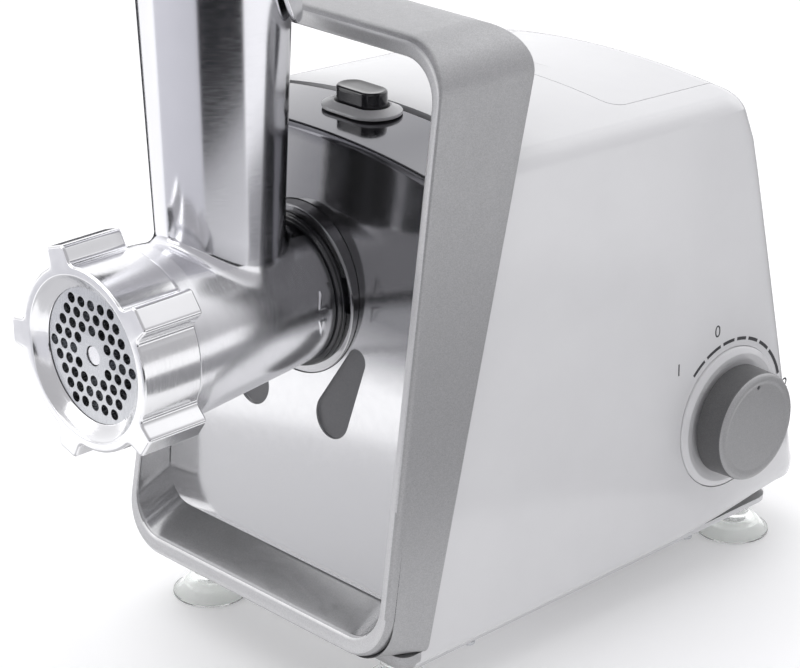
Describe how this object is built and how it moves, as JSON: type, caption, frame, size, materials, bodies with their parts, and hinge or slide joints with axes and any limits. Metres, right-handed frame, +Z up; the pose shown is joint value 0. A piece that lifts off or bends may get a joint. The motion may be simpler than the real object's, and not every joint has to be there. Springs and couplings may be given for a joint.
{
  "type": "electric meat grinder",
  "caption": "Counter-top electric meat grinder: housing with motor and gear train, speed knob and carry handle, and a twist-off grinding head with feed tray.",
  "frame": {"origin": "on the table under the middle of the machine's bounding box, on the plane of the grinding axis", "axes": "+X towards the speed knob, -Y towards the front where the meat comes out, +Z up"},
  "size_m": [0.216, 0.38, 0.396],
  "materials": {
    "white_abs": "smooth glossy moulded",
    "silver_paint": "fine metallic silver paint, satin",
    "silver_panel": "fine metallic silver paint under gloss lacquer",
    "polished_aluminium": "polished cast aluminium",
    "steel": "ground and machined steel",
    "black_plastic": "semi-matt black moulded",
    "grey_plastic": "fine-textured grey moulded",
    "clear_vinyl": "clear soft vinyl",
    "nylon": "natural nylon",
    "copper": "turned copper bars",
    "sintered_bronze": "oil-filled sintered bronze",
    "circuit_board": "green resist"
  },
  "bodies": {
    "chassis": {"main_housing": "white_abs", "handle_bezel": "silver_paint", "front_cover": "silver_panel", "base_plate": "white_abs", "storage_bin": "white_abs", "coarse_plate": "steel", "medium_plate": "steel", "knob_collar": "white_abs", "rotary_switch": "black_plastic", "button_collar": "silver_paint", "button_spring": "steel", "drive_socket": "silver_panel", "output_bearing": "sintered_bronze", "intermediate_shaft": "steel", "gearbox_case": "grey_plastic", "gearbox_cover": "grey_plastic", "motor_housing": "steel", "motor_stator": "steel", "motor_bearing_front": "sintered_bronze", "motor_bearing_rear": "sintered_bronze", "carbon_brush_left": "black_plastic", "carbon_brush_right": "black_plastic", "motor_cradle": "black_plastic", "control_board": "circuit_board", "cord_gland": "grey_plastic", "lid_hinge_pin": "steel", "suction_foot_fl": "clear_vinyl", "suction_foot_fr": "clear_vinyl", "suction_foot_rl": "clear_vinyl", "suction_foot_rr": "clear_vinyl", "base_screw_fl": "steel", "base_screw_fr": "steel", "base_screw_rl": "steel", "base_screw_rr": "steel"},
    "output": {"output_shaft": "steel", "output_gear": "nylon"},
    "layshaft": {"intermediate_gear": "nylon", "intermediate_pinion": "steel"},
    "motor": {"motor_rotor": "steel", "motor_pinion": "steel", "motor_fan": "black_plastic", "commutator": "copper"},
    "bayonet": {"bayonet_ring": "black_plastic"},
    "head": {"grinder_head": "polished_aluminium", "auger_bush": "nylon"},
    "auger": {"auger": "polished_aluminium", "cutting_knife": "steel"},
    "plate": {"grinding_plate": "steel"},
    "ring": {"screw_ring": "polished_aluminium"},
    "tray": {"hopper_tray": "polished_aluminium"},
    "pusher": {"pusher": "white_abs"},
    "button": {"release_button": "black_plastic"},
    "bolt": {"lock_bolt": "steel"},
    "lid": {"storage_lid": "white_abs"},
    "knob": {"control_knob": "silver_paint", "knob_shaft": "steel"}
  },
  "joints": [
    {"name": "output_spin", "type": "hinge", "parent": "chassis", "child": "output", "pos_m": [0, 0, 0.1736], "axis": [0, 1, 0], "continuous": true},
    {"name": "layshaft_spin", "type": "hinge", "parent": "chassis", "child": "layshaft", "pos_m": [0, 0, 0.1304], "axis": [0, 1, 0], "continuous": true},
    {"name": "motor_spin", "type": "hinge", "parent": "chassis", "child": "motor", "pos_m": [0, 0, 0.0968], "axis": [0, 1, 0], "continuous": true},
    {"name": "head_twist", "type": "hinge", "parent": "chassis", "child": "bayonet", "pos_m": [0, 0, 0.1736], "axis": [0, 1, 0], "range_deg": [-40, 0]},
    {"name": "head_slide", "type": "slide", "parent": "bayonet", "child": "head", "axis": [0, -1, 0], "range_m": [0, 0.12]},
    {"name": "auger_spin", "type": "hinge", "parent": "head", "child": "auger", "pos_m": [0, 0, 0.1736], "axis": [0, 1, 0], "continuous": true},
    {"name": "plate_slide", "type": "slide", "parent": "head", "child": "plate", "axis": [0, -1, 0], "range_m": [0, 0.0061]},
    {"name": "ring_turn", "type": "hinge", "parent": "plate", "child": "ring", "pos_m": [0, 0, 0.1736], "axis": [0, -1, 0], "range_deg": [0, 720]},
    {"name": "tray_lift", "type": "slide", "parent": "head", "child": "tray", "axis": [0, 0, 1], "range_m": [0, 0.06]},
    {"name": "pusher_slide", "type": "slide", "parent": "tray", "child": "pusher", "axis": [0, 0, 1], "range_m": [0, 0.16]},
    {"name": "button_press", "type": "slide", "parent": "chassis", "child": "button", "axis": [0, 0, -1], "range_m": [0, 0.004], "stiffness_N_per_m": 800, "springref_m": -0.002, "deforming": ["button_spring"]},
    {"name": "bolt_slide", "type": "slide", "parent": "chassis", "child": "bolt", "axis": [0, 1, 0], "range_m": [0, 0.004]},
    {"name": "lid_hinge", "type": "hinge", "parent": "chassis", "child": "lid", "pos_m": [0, 0.1425, 0.2225], "axis": [-1, 0, 0], "range_deg": [0, 100]},
    {"name": "knob_turn", "type": "hinge", "parent": "chassis", "child": "knob", "pos_m": [0.09, 0.1269, 0.0759], "axis": [1, 0, 0], "range_deg": [-75, 45]}
  ],
  "couplings": [
    {"joint": "layshaft_spin", "follows": "output_spin", "ratio": -5},
    {"joint": "motor_spin", "follows": "output_spin", "ratio": 30},
    {"joint": "auger_spin", "follows": "output_spin", "ratio": 1},
    {"joint": "plate_slide", "follows": "ring_turn", "m_per_rad": 0.00047746},
    {"joint": "bolt_slide", "follows": "button_press", "ratio": 1}
  ]
}
